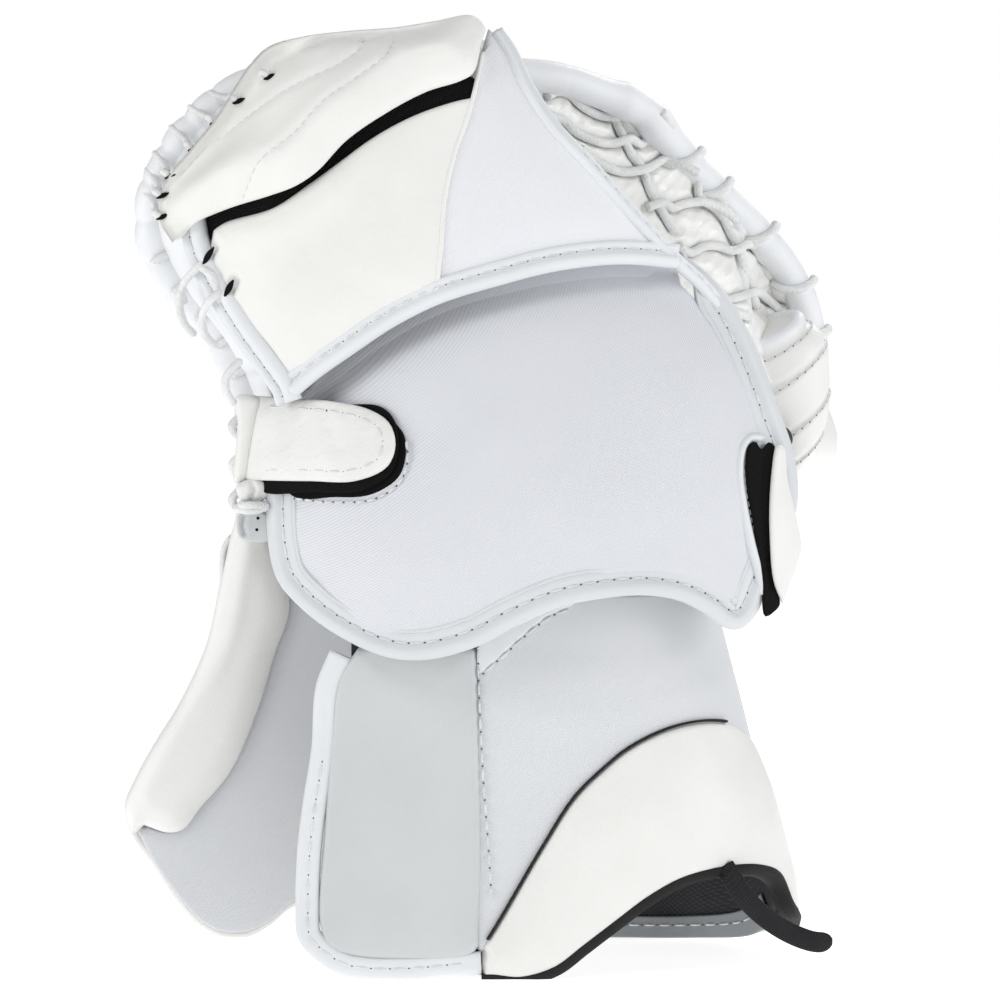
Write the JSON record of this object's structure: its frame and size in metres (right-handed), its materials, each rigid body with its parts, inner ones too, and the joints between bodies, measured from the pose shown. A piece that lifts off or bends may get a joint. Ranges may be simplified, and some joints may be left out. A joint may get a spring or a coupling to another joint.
{
  "type": "goalie catch glove",
  "caption": "Ice hockey goalie catch glove for the left hand, standing on its cuff: laced pocket, padded back, wrist flap with straps, cuff.",
  "frame": {"origin": "middle of the cuff's forearm opening, in the plane that the cuff stands on", "axes": "+Z toward the fingertips, +X toward the thumb and pocket, +Y out of the catching side (the back of the hand faces -Y)"},
  "size_m": [0.3358, 0.2492, 0.408],
  "materials": {
    "white_leather": "smooth, slightly creamy white synthetic leather with a soft sheen and fine grain",
    "white_nylon": "bluish white woven ballistic nylon, fine diagonal twill",
    "binding": "cool white edge binding with running stitches",
    "lace": "white rawhide lace",
    "foam": "closed-cell foam padding",
    "liner": "black moisture-wicking lining cloth",
    "hook_loop": "black hook-and-loop tape",
    "webbing": "black woven tape and edge trim",
    "stiffener": "white thermoplastic sheet",
    "web_skin": "glossy cream-white web leather"
  },
  "bodies": {
    "root": {"palm_face_pad": "white_leather", "palm_foam_core": "foam", "palm_heel_roll": "white_leather", "heel_leather": "white_leather", "finger_perimeter_roll": "white_leather", "perimeter_lacing": "lace", "back_hand_leather": "white_leather", "back_hand_nylon": "white_nylon", "back_hand_binding": "binding", "back_hand_foam": "foam", "hand_lining": "liner", "finger_stalls": "liner", "side_gusset": "white_nylon", "side_lacing": "lace", "strap_anchor_loop": "white_leather", "cuff_nylon_wrap": "white_nylon", "cuff_wrist_leather": "white_leather", "cuff_edge_trim": "webbing", "cuff_palm_wrap": "white_nylon", "cuff_flat_pad": "white_nylon", "cuff_flat_binding": "binding", "cuff_stiffener": "stiffener", "cuff_lining": "liner", "cuff_palm_lining": "liner", "cuff_front_plate": "foam", "cuff_front_leather": "white_leather", "wing_nylon": "white_nylon", "wing_edge_strip": "white_leather", "pocket_spine": "lace", "t_roll_finger_side": "white_leather", "web_finger_side": "web_skin", "web_lacing_finger": "lace", "t_lacing": "lace", "thumb_gusset": "white_leather"},
    "thumb": {"t_roll_thumb_side": "white_leather", "web_thumb_side": "web_skin", "web_lacing_thumb": "lace", "thumb_face_pad": "white_leather", "thumb_stiffener": "stiffener", "thumb_stall": "liner", "thumb_back_cover": "white_leather", "thumb_lacing": "lace"},
    "wrist_flap": {"wrist_flap_pad": "white_nylon", "wrist_flap_binding": "binding", "wrist_flap_foam": "foam", "loop_patch_left": "hook_loop", "loop_patch_right": "hook_loop", "right_strap_hook": "hook_loop", "right_strap_leather": "white_leather"},
    "left_strap": {"left_strap_hook": "hook_loop", "left_strap_leather": "white_leather"},
    "finger_cover": {"finger_cover_leather": "white_leather", "finger_cover_lining": "liner"},
    "pull_tab": {"pull_tab": "webbing"}
  },
  "joints": [
    {"name": "thumb_close", "type": "hinge", "parent": "root", "child": "thumb", "pos_m": [0.096, 0.034, 0.187], "axis": [-0.0915, 0.2436, 0.9655], "range_deg": [0, 45], "stiffness_Nm_per_rad": 1},
    {"name": "wrist_flap_lift", "type": "hinge", "parent": "root", "child": "wrist_flap", "pos_m": [-0.033, -0.05, 0.2785], "axis": [-0.9457, 0, -0.3251], "range_deg": [0, 20]},
    {"name": "left_strap_open", "type": "hinge", "parent": "root", "child": "left_strap", "pos_m": [-0.1375, -0.033, 0.23], "axis": [0, 0, -1], "range_deg": [0, 110]},
    {"name": "finger_cover_lift", "type": "hinge", "parent": "root", "child": "finger_cover", "pos_m": [-0.131, -0.042, 0.39], "axis": [-0.8546, 0, -0.5193], "range_deg": [0, 12], "stiffness_Nm_per_rad": 0.5},
    {"name": "pull_tab_swing", "type": "hinge", "parent": "root", "child": "pull_tab", "pos_m": [0.076, -0.063, 0.042], "axis": [-0.317, 0.9484, 0], "range_deg": [-15, 20], "stiffness_Nm_per_rad": 0.05}
  ],
  "couplings": [
    {"joint": "left_strap_open", "follows": "wrist_flap_lift", "ratio": 5.5}
  ]
}
